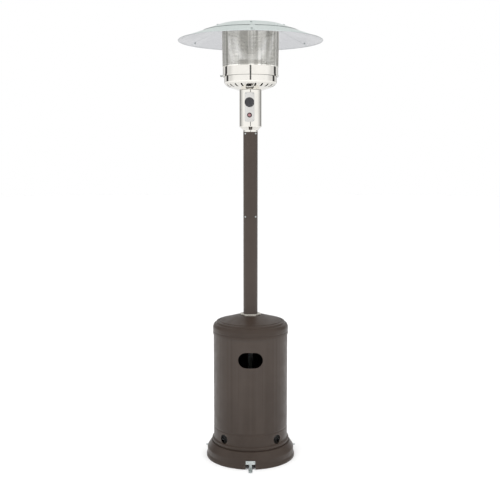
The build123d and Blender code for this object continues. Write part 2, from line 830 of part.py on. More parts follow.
with BuildPart() as main_gas_tube:
    tube_along(
        [
            place(head_yaw, valve_line, 0, valve_top),
            place(head_yaw, valve_line, 0, valve_top + 9),
            place(head_yaw, 0, 0, valve_top + 21),
            place(head_yaw, 0, 0, injector_bottom),
        ],
        7,
        4,
    )
main_gas_tube.part.label = "main_gas_tube"
export_step(main_gas_tube.part, "parts/main_gas_tube.step")

with BuildPart() as gas_injector:
    with BuildSketch(Plane.XY.offset(injector_bottom)):
        RegularPolygon(7.8, 6)
    extrude(amount=20)
    with BuildSketch(Plane.XY.offset(injector_bottom + 20)):
        Circle(4.5)
    extrude(amount=9, taper=14)
gas_injector.part.label = "gas_injector"
export_step(gas_injector.part, "parts/gas_injector.step")

# Bowl with a rounded bottom; radial air slots, and one round lighting hole at the front.
with BuildPart() as burner_bowl:
    with BuildSketch(Plane.XZ):
        with BuildLine():
            outline([
                (0, bowl_bottom, 0),
                (64, bowl_bottom, 30),
                (118, bowl_bottom + 18, 34),
                (bowl_radius, bowl_bottom + 34, 14),
                (bowl_radius, bowl_rim - sheet, 0),
                (bowl_flange_radius, bowl_rim - sheet, 0),
                (bowl_flange_radius, bowl_rim, 0),
                (0, bowl_rim, 0),
            ])
        make_face()
        with BuildLine():
            outline([
                (0, bowl_floor, 0),
                (64, bowl_floor, 30),
                (117.6, bowl_bottom + 18 + sheet, 34),
                (bowl_radius - sheet, bowl_bottom + 34.4, 13),
                (bowl_radius - sheet, bowl_rim + 1, 0),
                (0, bowl_rim + 1, 0),
            ])
        make_face(mode=Mode.SUBTRACT)
    revolve(axis=Axis.Z)
    for number in range(1, slot_count):
        with BuildSketch(level(head_yaw + number * 360 / slot_count, bowl_bottom - 5)):
            with Locations((slot_circle, 0)):
                SlotOverall(27, 9)
        extrude(amount=35, mode=Mode.SUBTRACT)
    with BuildSketch(level(head_yaw, bowl_bottom - 5)):
        with Locations((108, 0)):
            Circle(lighting_hole_radius)
        Circle(24)
        for side in (-pilot_spread, 0, pilot_spread):
            with Locations((tube_distance, side)):
                Circle(3.4)
    extrude(amount=35, mode=Mode.SUBTRACT)
    with BuildSketch(Plane.XY.offset(bowl_bottom)):
        for azimuth in bowl_screw_azimuths:
            with Locations(outward(azimuth) * bowl_screw_circle):
                Circle(bowl_screw_radius + screw_clearance)
    extrude(amount=5, mode=Mode.SUBTRACT)
burner_bowl.part.label = "burner_bowl"
export_step(burner_bowl.part, "parts/burner_bowl.step")

with BuildPart() as bowl_screws:
    for azimuth in bowl_screw_azimuths:
        head = place(azimuth, bowl_screw_circle, 0, bowl_floor)
        bolt_and_nut(Plane(origin=head), bowl_screw_radius, 2 * sheet, 4.8, 3.2)
bowl_screws.part.label = "bowl_screws"
export_step(bowl_screws.part, "parts/bowl_screws.step")

# Tube that mixes gas and air under the burner, with four air ports above its foot.
with BuildPart() as mixer_tube:
    with BuildSketch(Plane.XZ):
        with BuildLine():
            outline([
                (8, bowl_floor, 0),
                (29, bowl_floor, 0),
                (29, bowl_floor + 1.5, 0),
                (mixer_radius, bowl_floor + 1.5, 0),
                (mixer_radius, mixer_top, 0),
                (mixer_radius - 1.5, mixer_top, 0),
                (mixer_radius - 1.5, bowl_floor + 1.5, 0),
                (8, bowl_floor + 1.5, 0),
            ])
        make_face()
    revolve(axis=Axis.Z)
    for azimuth in bowl_screw_azimuths:
        drill(facing(azimuth, mixer_radius, bowl_floor + 16), 5, 6)
mixer_tube.part.label = "mixer_tube"
export_step(mixer_tube.part, "parts/mixer_tube.step")


def drum_section(inset):
    """Half section of the hollow burner drum above its socket."""
    outline([
        (0, drum_bottom + inset, 0),
        (mixer_radius + 2, drum_bottom + inset, 0),
        (drum_radius - inset, drum_bottom + 14 + inset, 4),
        (drum_radius - inset, drum_bottom + 44 - inset, 4),
        (58, drum_bottom + 54 - inset, 20),
        (0, drum_bottom + 56 - inset, 0),
    ])


with BuildPart() as burner_head:
    with BuildSketch(Plane.XZ):
        with BuildLine():
            drum_section(0)
        make_face()
        with BuildLine():
            drum_section(1.5)
        make_face(mode=Mode.SUBTRACT)
    revolve(axis=Axis.Z)
    with BuildSketch(Plane.XY.offset(mixer_top - 12)):
        Circle(mixer_radius + 2)
    extrude(amount=drum_bottom - mixer_top + 13)
    with BuildSketch(Plane.XY.offset(mixer_top - 12)):
        Circle(mixer_radius + 0.1)
    extrude(amount=30, mode=Mode.SUBTRACT)
    for number in range(drum_slot_count):
        azimuth = number * 360 / drum_slot_count
        with BuildSketch(facing(azimuth, drum_radius - 8, drum_bottom + 29)):
            SlotOverall(19, 6, rotation=90)
        extrude(amount=16, mode=Mode.SUBTRACT)
burner_head.part.label = "burner_head"
export_step(burner_head.part, "parts/burner_head.step")

# Keyhole plate on the mixer tube that carries the pilot, electrode and thermocouple.
bracket_level = 1938.0
with BuildPart() as pilot_bracket:
    with BuildSketch(level(head_yaw, bracket_level)):
        Circle(26)
        Rectangle(pilot_distance, 20, align=(Align.MIN, Align.CENTER))
        with Locations((pilot_distance, 0)):
            RectangleRounded(18, 52, 4)
        Circle(mixer_radius + 0.1, mode=Mode.SUBTRACT)
        for side, radius in ((-pilot_spread, 4.1), (0, 3.1), (pilot_spread, 4.1)):
            with Locations((pilot_distance, side)):
                Circle(radius, mode=Mode.SUBTRACT)
    extrude(amount=2)
pilot_bracket.part.label = "pilot_bracket"
export_step(pilot_bracket.part, "parts/pilot_bracket.step")


def pilot_line(side, start, end_height):
    """Route from the control housing up through the bowl's floor and out to the pilot."""
    return [
        place(head_yaw, tube_distance, side, start),
        place(head_yaw, tube_distance, side, bowl_bottom + 14),
        place(head_yaw, pilot_distance, side, bowl_bottom + 29),
        place(head_yaw, pilot_distance, side, end_height),
    ]


with BuildPart() as pilot_tube:
    tube_along(pilot_line(pilot_spread, valve_top, pilot_foot), 9, 2.5)
pilot_tube.part.label = "pilot_tube"
export_step(pilot_tube.part, "parts/pilot_tube.step")

with BuildPart() as pilot_burner:
    with BuildSketch(Plane(origin=place(head_yaw, pilot_distance, pilot_spread, pilot_foot))):
        Circle(4)
    extrude(amount=45)
    with BuildSketch(Plane(origin=place(head_yaw, pilot_distance, pilot_spread, pilot_foot + 45))):
        Circle(6)
    extrude(amount=8)
    with BuildSketch(facing(head_yaw, pilot_distance, pilot_foot + 49)):
        with Locations((pilot_spread - 6, 0)):
            Rectangle(8, 4)
    extrude(amount=10, both=True, mode=Mode.SUBTRACT)
pilot_burner.part.label = "pilot_burner"
export_step(pilot_burner.part, "parts/pilot_burner.step")

with BuildPart() as thermocouple:
    tube_along(pilot_line(0, valve_top, pilot_foot + 65), 9, 2)
    with BuildSketch(Plane(origin=place(head_yaw, pilot_distance, 0, pilot_foot + 5))):
        Circle(3)
    extrude(amount=50)
thermocouple.part.label = "thermocouple"
export_step(thermocouple.part, "parts/thermocouple.step")

with BuildPart() as spark_electrode:
    with BuildSketch(Plane(origin=place(head_yaw, pilot_distance, -pilot_spread, pilot_foot))):
        Circle(4)
    extrude(amount=40)
    with BuildSketch(Plane(origin=place(head_yaw, pilot_distance, -pilot_spread, pilot_foot + 40))):
        Circle(1.2)
    extrude(amount=18)
spark_electrode.part.label = "spark_electrode"
export_step(spark_electrode.part, "parts/spark_electrode.step")

# High-tension lead from the igniter, past the valve and up to the electrode.
with BuildPart() as ignition_lead:
    tube_along(
        [
            place(head_yaw, 20, 0, igniter_height),
            place(head_yaw, 11, 0, igniter_height),
            place(head_yaw, 11, -25, igniter_height + 18),
            place(head_yaw, 11, -25, valve_top + 10),
            place(head_yaw, tube_distance, -pilot_spread, valve_top + 30),
        ]
        + pilot_line(-pilot_spread, valve_top + 40, pilot_foot)[1:],
        [4, 6, 8, 8, 6, 6],
        1.8,
    )
ignition_lead.part.label = "ignition_lead"
export_step(ignition_lead.part, "parts/ignition_lead.step")

# ---------------------------------------------------------------- emitter

flange_gap = 0.3
band_bottom = bowl_rim + flange_gap
with BuildPart() as emitter_band:
    with BuildSketch(Plane.XZ):
        with BuildLine():
            outline([
                (134, band_bottom, 0),
                (band_radius, band_bottom, 0.6),
                (band_radius, band_top, 0),
                (band_radius - sheet, band_top, 0),
                (band_radius - sheet, band_bottom + sheet, 0),
                (134, band_bottom + sheet, 0),
            ])
        make_face()
    revolve(axis=Axis.Z)
emitter_band.part.label = "emitter_band"
export_step(emitter_band.part, "parts/emitter_band.step")

# Thin split ring round the flanges, drawn up by one screw through its ears.
clamp_azimuth = -90
clamp_gap = 7.0
ear_offset = clamp_gap / 2
clamp_screw_radius = 1.8
clamp_inner = bowl_flange_radius + 0.2
clamp_outer = clamp_inner + 1.5
clamp_middle = bowl_rim + 0.5
with BuildPart() as clamp_ring:
    with BuildSketch(Plane.XY.offset(clamp_middle - 3.5)):
        Circle(clamp_outer)
        Circle(clamp_inner, mode=Mode.SUBTRACT)
    extrude(amount=7)
    with BuildSketch(level(clamp_azimuth, clamp_middle - 3.5)):
        with Locations((clamp_outer, 0)):
            Rectangle(20, clamp_gap, mode=Mode.ADD)
    extrude(amount=7, mode=Mode.SUBTRACT)
    with BuildSketch(level(clamp_azimuth, clamp_middle - 3.5)):
        for side in (-ear_offset - 0.8, ear_offset + 0.8):
            with Locations((clamp_inner + 0.3, side)):
                Rectangle(12, 1.6, align=(Align.MIN, Align.CENTER))
    extrude(amount=7)
    ear_middle = place(clamp_azimuth, clamp_inner + 7, 0, clamp_middle)
    drill(Plane(origin=ear_middle, z_dir=across(clamp_azimuth)), clamp_screw_radius + screw_clearance, 8)
clamp_ring.part.label = "clamp_ring"
export_step(clamp_ring.part, "parts/clamp_ring.step")

with BuildPart() as clamp_screw:
    ear_face = place(clamp_azimuth, clamp_inner + 7, ear_offset + 1.6, clamp_middle)
    bolt_and_nut(
        Plane(origin=ear_face, z_dir=across(clamp_azimuth)),
        clamp_screw_radius,
        clamp_gap + 3.2,
        3.6,
        2.6,
    )
clamp_screw.part.label = "clamp_screw"
export_step(clamp_screw.part, "parts/clamp_screw.step")

with BuildPart() as emitter_screen:
    with BuildSketch(Plane.XZ):
        with BuildLine():
            Polyline(
                (screen_bottom_radius, screen_bottom),
                (screen_top_radius, screen_top),
                (screen_top_radius - screen_sheet, screen_top),
                (screen_bottom_radius - screen_sheet, screen_bottom),
                close=True,
            )
        make_face()
    revolve(axis=Axis.Z)
emitter_screen.part.label = "emitter_screen"
export_step(emitter_screen.part, "parts/emitter_screen.step")

# Plate that closes the screen, its edge turned down inside it.
top_plate = 1.5
with BuildPart() as emitter_top_plate:
    with BuildSketch(Plane.XZ):
        with BuildLine():
            outline([
                (0, screen_top + top_plate, 0),
                (screen_top_radius, screen_top + top_plate, 1),
                (screen_top_radius, screen_top, 0),
                (screen_top_radius - screen_sheet - 0.2, screen_top, 0),
                (screen_top_radius - screen_sheet - 0.4, screen_top - 10, 0),
                (screen_top_radius - screen_sheet - 1.9, screen_top - 10, 0),
                (screen_top_radius - screen_sheet - 1.7, screen_top, 0),
                (0, screen_top, 0),
            ])
        make_face()
    revolve(axis=Axis.Z)
    with BuildSketch(Plane.XY.offset(screen_top)):
        for azimuth in stud_azimuths:
            with Locations(outward(azimuth + seam_yaw) * stud_circle):
                Circle(stud_radius + screw_clearance)
    extrude(amount=5, both=True, mode=Mode.SUBTRACT)
emitter_top_plate.part.label = "emitter_top_plate"
export_step(emitter_top_plate.part, "parts/emitter_top_plate.step")

# Inverted cone under the plate that spreads the flame against the screen.
deflector_bottom = 2062.0
with BuildPart() as flame_deflector:
    with BuildSketch(Plane.XZ):
        with BuildLine():
            outline([
                (0, deflector_bottom, 0),
                (16, deflector_bottom, 3),
                (88, screen_top - 1.2, 0),
                (96, screen_top - 1.2, 0),
                (96, screen_top, 0),
                (87, screen_top, 0),
                (15, deflector_bottom + 1.5, 3),
                (0, deflector_bottom + 1.5, 0),
            ])
        make_face()
    revolve(axis=Axis.Z)
flame_deflector.part.label = "flame_deflector"
export_step(flame_deflector.part, "parts/flame_deflector.step")

# ---------------------------------------------------------------- reflector

cap_underside = cone_height(cap_flat_radius) + cap_gap
cap_top = cap_underside + reflector_sheet

with BuildPart() as reflector_studs:
    for azimuth in stud_azimuths:
        foot = place(azimuth + seam_yaw, stud_circle, 0, screen_top)
        with BuildSketch(Plane(origin=foot)):
            Circle(stud_radius)
        extrude(amount=total_height - screen_top)
        with BuildSketch(Plane(origin=foot)):
            RegularPolygon(5.8, 6)
        extrude(amount=-4)
reflector_studs.part.label = "reflector_studs"
export_step(reflector_studs.part, "parts/reflector_studs.step")

with BuildPart() as stud_spacers:
    for azimuth in stud_azimuths:
        foot = place(azimuth + seam_yaw, stud_circle, 0, screen_top + top_plate)
        with BuildSketch(Plane(origin=foot)):
            Circle(6)
            Circle(stud_radius + screw_clearance, mode=Mode.SUBTRACT)
        extrude(amount=cap_underside - screen_top - top_plate)
stud_spacers.part.label = "stud_spacers"
export_step(stud_spacers.part, "parts/stud_spacers.step")

# Wing nuts that hold the reflector down on its studs.
with BuildPart() as wing_nuts:
    for azimuth in stud_azimuths:
        foot = place(azimuth + seam_yaw, stud_circle, 0, cap_top)
        with BuildSketch(Plane(origin=foot)):
            Circle(5.5)
        extrude(amount=5, taper=8)
        for side in (-1, 1):
            with BuildSketch(facing(azimuth + seam_yaw, stud_circle - 0.9, cap_top)):
                with Locations((side * 7.5, 4.2)):
                    Ellipse(4.5, 3.6, rotation=side * 30)
            extrude(amount=1.8)
        with BuildSketch(Plane(origin=foot)):
            Circle(stud_radius + screw_clearance)
        extrude(amount=12, mode=Mode.SUBTRACT)
wing_nuts.part.label = "wing_nuts"
export_step(wing_nuts.part, "parts/wing_nuts.step")

with BuildPart() as reflector_cap:
    with BuildSketch(Plane.XZ):
        with BuildLine():
            outline([
                (0, cap_underside, 0),
                (cap_flat_radius, cap_underside, 12),
                (cap_radius, cone_height(cap_radius) + cap_gap, 0),
                (cap_radius, cone_height(cap_radius) + cap_gap + reflector_sheet, 0),
                (cap_flat_radius, cap_top, 12),
                (0, cap_top, 0),
            ])
        make_face()
    revolve(axis=Axis.Z)
    with BuildSketch(Plane.XY.offset(cap_top)):
        for azimuth in stud_azimuths:
            with Locations(outward(azimuth + seam_yaw) * stud_circle):
                Circle(stud_radius + screw_clearance)
    extrude(amount=5, both=True, mode=Mode.SUBTRACT)
    for azimuth in inner_bolt_azimuths:
        cap_hole = on_cone(azimuth + seam_yaw, inner_bolt_radius, cap_gap)
        drill(cap_hole, reflector_bolt_radius + screw_clearance, 5)
reflector_cap.part.label = "reflector_cap"
export_step(reflector_cap.part, "parts/reflector_cap.step")


def cone_band(inner, outer, bottom, top):
    """Section of a sheet that follows the cone between two lifts above the panels' underside."""
    Polyline(
        (inner, cone_height(inner) + bottom),
        (outer, cone_height(outer) + bottom),
        (outer, cone_height(outer) + top),
        (inner, cone_height(inner) + top),
        close=True,
    )


def radial_section(azimuth):
    """Upright plane through the axis whose local X points outward at the azimuth."""
    direction = outward(azimuth)
    return Plane(origin=(0, 0, 0), x_dir=direction, z_dir=direction.cross(Vector(0, 0, 1)))


# Three conical panels. Each one's first edge is joggled up to lap over its neighbour's last.
panel_names = ("right", "rear", "left")
lap_top = 2 * reflector_sheet + lap_gap
for panel_name, seam in zip(panel_names, (0, 120, 240)):
    first_edge = seam + seam_yaw + lap_angle / 2 + panel_gap_angle
    with BuildPart() as reflector_panel:
        with BuildSketch(radial_section(first_edge)):
            with BuildLine():
                cone_band(panel_inner_radius, rim_radius - 2, 0, reflector_sheet)
            make_face()
            with Locations((rim_radius - 2.2, cone_height(rim_radius - 2.2) + 0.6)):
                Circle(2.2)
        revolve(axis=Axis.Z, revolution_arc=120 - 2 * panel_gap_angle)
        with BuildSketch(radial_section(first_edge)):
            with BuildLine():
                cone_band(panel_inner_radius, rim_radius - 6, reflector_sheet / 2, lap_top)
            make_face()
        revolve(axis=Axis.Z, revolution_arc=lap_root_angle)
        with BuildSketch(radial_section(first_edge)):
            with BuildLine():
                cone_band(panel_inner_radius, rim_radius - 6, reflector_sheet + lap_gap, lap_top)
            make_face()
        revolve(axis=Axis.Z, revolution_arc=-lap_angle - panel_gap_angle)
        for azimuth in (seam, seam + 120):
            for radius in (outer_bolt_radius, inner_bolt_radius):
                drill(on_cone(azimuth + seam_yaw, radius, 0), reflector_bolt_radius + screw_clearance, 5)
        middle_hole = on_cone(seam + 60 + seam_yaw, inner_bolt_radius, 0)
        drill(middle_hole, reflector_bolt_radius + screw_clearance, 5)
    reflector_panel.part.label = f"reflector_panel_{panel_name}"
    export_step(reflector_panel.part, f"parts/reflector_panel_{panel_name}.step")

with BuildPart() as reflector_bolts:
    for azimuth in seam_azimuths:
        outer_seat = on_cone(azimuth + seam_yaw, outer_bolt_radius, lap_top)
        bolt_and_nut(outer_seat, reflector_bolt_radius, lap_top + lap_gap, 4.6, 3.2)
    for azimuth in inner_bolt_azimuths:
        inner_seat = on_cone(azimuth + seam_yaw, inner_bolt_radius, cap_gap + reflector_sheet)
        inner_grip = cap_gap + reflector_sheet + lap_gap
        bolt_and_nut(inner_seat, reflector_bolt_radius, inner_grip, 4.6, 3.2)
reflector_bolts.part.label = "reflector_bolts"
export_step(reflector_bolts.part, "parts/reflector_bolts.step")
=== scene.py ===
"""Looks of the outdoor heater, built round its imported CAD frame.

Metres and degrees. +Z is up, the front of the heater faces -Y, and an azimuth is measured
from the front towards +X.
"""

import json
import math

import bpy
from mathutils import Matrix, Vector


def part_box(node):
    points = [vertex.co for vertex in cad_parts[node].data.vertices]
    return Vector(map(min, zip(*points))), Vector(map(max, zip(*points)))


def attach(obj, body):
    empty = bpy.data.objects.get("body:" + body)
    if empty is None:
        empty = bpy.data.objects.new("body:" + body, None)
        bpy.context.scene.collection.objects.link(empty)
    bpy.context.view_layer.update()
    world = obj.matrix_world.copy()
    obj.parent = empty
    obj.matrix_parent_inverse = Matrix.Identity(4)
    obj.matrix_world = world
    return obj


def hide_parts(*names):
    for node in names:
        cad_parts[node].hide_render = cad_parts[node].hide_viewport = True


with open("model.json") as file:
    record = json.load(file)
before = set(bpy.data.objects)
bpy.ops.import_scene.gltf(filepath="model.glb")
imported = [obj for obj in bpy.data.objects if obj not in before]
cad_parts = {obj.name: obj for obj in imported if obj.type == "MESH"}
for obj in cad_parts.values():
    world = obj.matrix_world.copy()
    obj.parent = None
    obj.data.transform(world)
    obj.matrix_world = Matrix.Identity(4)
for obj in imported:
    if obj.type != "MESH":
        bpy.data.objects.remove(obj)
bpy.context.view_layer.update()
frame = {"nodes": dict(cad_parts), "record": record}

# ---------------------------------------------------------------- camera

CAMERA_DISTANCE = 4.153
CAMERA_HEIGHT = 1.5485
CAMERA_PITCH = 5.807
CAMERA_LENS = 58.734
CAMERA_SENSOR = 36.0
CAMERA_SHIFT = (-0.001, -0.02)

camera_data = bpy.data.cameras.new("camera")
camera_data.lens = CAMERA_LENS
camera_data.sensor_width = CAMERA_SENSOR
camera_data.shift_x, camera_data.shift_y = CAMERA_SHIFT
camera = bpy.data.objects.new("camera", camera_data)
camera.location = (0, -CAMERA_DISTANCE, CAMERA_HEIGHT)
camera.rotation_euler = (math.radians(90 - CAMERA_PITCH), 0, 0)
bpy.context.scene.collection.objects.link(camera)
bpy.context.scene.camera = camera
bpy.context.scene.view_settings.view_transform = "Standard"

# ---------------------------------------------------------------- node helpers


class Nodes:
    """Builds one node tree: each call adds a node, sets its values and links its inputs."""

    def __init__(self, tree):
        self.tree = tree

    def add(self, kind, inputs=None, **settings):
        node = self.tree.nodes.new(kind)
        for key, value in settings.items():
            setattr(node, key, value)
        for key, value in (inputs or {}).items():
            socket = node.inputs[key]
            if isinstance(value, bpy.types.NodeSocket):
                self.tree.links.new(value, socket)
            else:
                socket.default_value = value
        return node

    def math(self, operation, first, second=0.0):
        return self.add("ShaderNodeMath", {0: first, 1: second}, operation=operation).outputs[0]

    def ramp(self, value, low, high, out_low=0.0, out_high=1.0):
        """Value between low and high, eased onto the output range."""
        inputs = {
            "Value": value, "From Min": low, "From Max": high,
            "To Min": out_low, "To Max": out_high,
        }
        eased = self.add("ShaderNodeMapRange", inputs, interpolation_type="SMOOTHSTEP", clamp=True)
        return eased.outputs["Result"]

    def mix(self, factor, first, second):
        node = self.add("ShaderNodeMix", data_type="RGBA")
        for index, value in ((0, factor), (6, first), (7, second)):
            if isinstance(value, bpy.types.NodeSocket):
                self.tree.links.new(value, node.inputs[index])
            else:
                node.inputs[index].default_value = value
        return node.outputs[2]

    def grey(self, level):
        return self.add("ShaderNodeCombineColor", {0: level, 1: level, 2: level}).outputs[0]

    def noise(self, vector, scale, detail=3.0, roughness=0.5):
        inputs = {"Vector": vector, "Scale": scale, "Detail": detail, "Roughness": roughness}
        return self.add("ShaderNodeTexNoise", inputs).outputs["Fac"]

    def stretched(self, vector, scale):
        return self.add("ShaderNodeMapping", {"Vector": vector, "Scale": scale}).outputs["Vector"]

    def direction(self, operation, *vectors):
        inputs = dict(enumerate(vectors))
        return self.add("ShaderNodeVectorMath", inputs, operation=operation).outputs

    def facing(self):
        """The surface's direction."""
        return self.add("ShaderNodeNewGeometry").outputs["Normal"]

    def rise(self):
        """How far the surface looks up: 1 is straight up, -1 straight down."""
        return self.add("ShaderNodeSeparateXYZ", {0: self.facing()}).outputs["Z"]

    def bump(self, height, distance, strength, normal=None):
        inputs = {"Height": height, "Distance": distance, "Strength": strength}
        if normal is not None:
            inputs["Normal"] = normal
        return self.add("ShaderNodeBump", inputs).outputs["Normal"]


def rgb(red, green, blue):
    return (red, green, blue, 1.0)


def darker(colour, share):
    """The colour at a share of its brightness."""
    return rgb(*(channel * share for channel in colour[:3]))


def material(name):
    """New material: its node helper, its Principled shader and its object coordinates."""
    made = bpy.data.materials.new(name)
    made.use_nodes = True
    nodes = Nodes(made.node_tree)
    shader = made.node_tree.nodes["Principled BSDF"]
    place = nodes.add("ShaderNodeTexCoord").outputs["Object"]
    return made, nodes, shader, place


def plug(nodes, shader, **values):
    """Sets the shader's sockets, or links them, by name with _ for a space."""
    for key, value in values.items():
        socket = shader.inputs[key.replace("_", " ")]
        if isinstance(value, bpy.types.NodeSocket):
            nodes.tree.links.new(value, socket)
        else:
            socket.default_value = value


# ---------------------------------------------------------------- colours and finish depths

PAINT_DEEP = rgb(0.032, 0.021, 0.0150)
PAINT_PALE = rgb(0.039, 0.0265, 0.0195)
PAINT_FLECK = rgb(0.075, 0.058, 0.046)
PAINT_RUBBED = rgb(0.12, 0.10, 0.088)
# Painted shade: the colour of the powder coat's inward faces, nearly black.
PAINT_INSIDE_SHADE = rgb(0.006, 0.005, 0.004)
PAINT_IOR = 1.38

# Painted shade on inward faces of polished steel, and heat stain on its upward faces.
HEAT_STAIN_AND_SHADE = rgb(0.10, 0.092, 0.082)
SMUDGE_SHADE = 0.94
# Painted shade: the share of brightness left on polished steel faces that look down.
PAINTED_UNDERSIDE_SHADE = 0.68
METAL_STAIN_SHADE = 0.86

REFLECTOR_BRIGHT = (rgb(0.76, 0.85, 0.82), rgb(0.82, 0.90, 0.87))
# Painted shade: the reflector's colour on faces that look down.
REFLECTOR_UNDERSIDE_SHADE = (rgb(0.505, 0.51, 0.525), rgb(0.55, 0.555, 0.57))

STREAK_DARK = rgb(0.52, 0.51, 0.47)
STREAK_PALE = rgb(0.94, 0.93, 0.88)
STREAK_CLOUD = rgb(0.55, 0.53, 0.49)

PEEL_DEPTH = 0.0001
WAVE_DEPTH = 0.0012
POLISH_DEPTH = 0.00002
GRAIN_DEPTH = 0.00006
SCORCH_DEPTH = 0.0002
MOULD_DEPTH = 0.00008
GLOSS_DEPTH = 0.00003

# ---------------------------------------------------------------- materials


def turned_inward(nodes, place):
    """1 on faces that look towards the heater's axis, 0 on those that look away from it."""
    flat = nodes.direction("MULTIPLY", place, (1, 1, 0))[0]
    outward = nodes.direction("NORMALIZE", flat)[0]
    away = nodes.direction("DOT_PRODUCT", outward, nodes.facing())["Value"]
    return nodes.ramp(away, -0.5, -0.2, 1.0, 0.0)


def turned_up(nodes):
    """1 on faces that look up."""
    return nodes.ramp(nodes.rise(), 0.3, 0.6)


def turned_down(nodes):
    """1 on faces that look down."""
    return nodes.ramp(nodes.rise(), -0.7, -0.15, 1.0, 0.0)


def powder_coat():
    """Semi-gloss mocha powder coat, with painted shade that colours the inward faces of the sheet
    nearly black: fine orange peel, faint mottling, rubbed edges."""
    made, nodes, shader, place = material("mocha_powder_coat")
    peel = nodes.noise(place, 700.0, 2.0)
    cloud = nodes.noise(place, 5.0, 4.0)
    cells = nodes.add("ShaderNodeTexVoronoi", {"Vector": place, "Scale": 1400.0})
    tone = nodes.mix(nodes.ramp(cloud, 0.35, 0.65), PAINT_DEEP, PAINT_PALE)
    tone = nodes.mix(nodes.ramp(cells.outputs["Distance"], 0.0, 0.25, 0.3, 0.0), tone, PAINT_FLECK)
    edge = nodes.ramp(nodes.add("ShaderNodeNewGeometry").outputs["Pointiness"], 0.53, 0.60)
    tone = nodes.mix(nodes.math("MULTIPLY", edge, 0.2), tone, PAINT_RUBBED)
    # Painted shade: faces that look towards the axis are coloured nearly black.
    tone = nodes.mix(turned_inward(nodes, place), tone, PAINT_INSIDE_SHADE)
    rough = nodes.ramp(nodes.noise(place, 24.0, 3.0), 0.3, 0.7, 0.36, 0.46)
    plug(
        nodes, shader, Base_Color=tone, Metallic=0.0, Roughness=rough, IOR=PAINT_IOR,
        Normal=nodes.bump(peel, PEEL_DEPTH, 0.5),
    )
    return made


def polished_steel(name, tint, low, high):
    """Polished stainless sheet, with painted shade on its inner faces (nearly black) and lower faces,
    and heat stain on its upper faces: slow waviness in the sheet and fine polishing marks round it."""
    made, nodes, shader, place = material(name)
    slow = nodes.noise(nodes.stretched(place, (1, 1, 0.6)), 9.0, 1.0)
    marks = nodes.noise(nodes.stretched(place, (3, 3, 160)), 12.0, 4.0, 0.7)
    smudge = nodes.noise(place, 14.0, 5.0, 0.6)
    half_marks = nodes.math("MULTIPLY", marks, 0.5)
    half_smudge = nodes.math("MULTIPLY", smudge, 0.5)
    rough = nodes.ramp(nodes.math("ADD", half_marks, half_smudge), 0.3, 0.7, low, high)
    shade = nodes.mix(nodes.ramp(smudge, 0.35, 0.75), tint, darker(tint, SMUDGE_SHADE))
    # Painted shade: faces that look down are coloured darker.
    shade = nodes.mix(turned_down(nodes), shade, darker(tint, PAINTED_UNDERSIDE_SHADE))
    # Inward faces get painted shade, nearly black; upward faces get the same dark colour as heat stain.
    stain_and_shade = nodes.math("MAXIMUM", turned_inward(nodes, place), turned_up(nodes))
    shade = nodes.mix(stain_and_shade, shade, HEAT_STAIN_AND_SHADE)
    waves = nodes.bump(slow, WAVE_DEPTH, 0.6)
    plug(
        nodes, shader, Base_Color=shade, Metallic=1.0, Roughness=rough,
        Normal=nodes.bump(marks, POLISH_DEPTH, 0.4, waves),
    )
    return made


def plain_metal(name, tint, low, high, grain=260.0, metallic=1.0):
    """Cast, plated or drawn metal with a fine uneven finish."""
    made, nodes, shader, place = material(name)
    speck = nodes.noise(place, grain, 4.0, 0.65)
    stain = nodes.noise(place, 30.0, 3.0)
    shade = nodes.mix(nodes.ramp(stain, 0.35, 0.7), tint, darker(tint, METAL_STAIN_SHADE))
    rough = nodes.ramp(speck, 0.3, 0.7, low, high)
    plug(
        nodes, shader, Base_Color=shade, Metallic=metallic, Roughness=rough,
        Normal=nodes.bump(speck, GRAIN_DEPTH, 0.5),
    )
    return made


def reflector_metal():
    """Bright rolled aluminium: fine rolling lines, and painted shade that darkens the faces turned down.
    """
    made, nodes, shader, place = material("reflector_aluminium")
    lines = nodes.noise(nodes.stretched(place, (6, 220, 6)), 5.0, 4.0, 0.7)
    cloud = nodes.noise(place, 6.0, 4.0)
    rise = nodes.rise()
    bright = nodes.mix(nodes.ramp(cloud, 0.35, 0.65), *REFLECTOR_BRIGHT)
    shaded_under = nodes.mix(nodes.ramp(cloud, 0.35, 0.65), *REFLECTOR_UNDERSIDE_SHADE)
    # Painted shade: faces that look down get the darker colour.
    shade = nodes.mix(nodes.ramp(rise, -0.2, 0.2), shaded_under, bright)
    rough = nodes.ramp(lines, 0.3, 0.7, 0.24, 0.34)
    plug(
        nodes, shader, Base_Color=shade, Metallic=1.0, Roughness=rough,
        Normal=nodes.bump(lines, POLISH_DEPTH, 0.4),
    )
    return made


def moulded(name, tint, low, high, grain=500.0, depth=MOULD_DEPTH):
    """Moulded plastic, rubber or ceramic with a fine grain."""
    made, nodes, shader, place = material(name)
    grains = nodes.noise(place, grain, 3.0, 0.6)
    dust = nodes.noise(place, 60.0, 4.0)
    dusty = rgb(*(min(1.0, channel * 1.5 + 0.004) for channel in tint[:3]))
    shade = nodes.mix(nodes.ramp(dust, 0.4, 0.7, 0.0, 0.5), tint, dusty)
    rough = nodes.ramp(grains, 0.3, 0.7, low, high)
    plug(nodes, shader, Base_Color=shade, Roughness=rough, Normal=nodes.bump(grains, depth, 0.5))
    return made


def scorched_finish(nodes, shader, place, shade, cloud):
    """The uneven dull shine that stainless has after work in the flame."""
    rough = nodes.ramp(nodes.noise(place, 120.0, 3.0), 0.3, 0.7, 0.26, 0.38)
    plug(
        nodes, shader, Base_Color=shade, Metallic=1.0, Roughness=rough,
        Normal=nodes.bump(cloud, SCORCH_DEPTH, 0.3),
    )


def scorched_steel(name, pale, dark):
    """Stainless that works in the flame, with cloudy heat colours."""
    made, nodes, shader, place = material(name)
    cloud = nodes.noise(place, 9.0, 4.0, 0.6)
    shade = nodes.mix(nodes.ramp(cloud, 0.35, 0.65), pale, dark)
    scorched_finish(nodes, shader, place, shade, cloud)
    return made


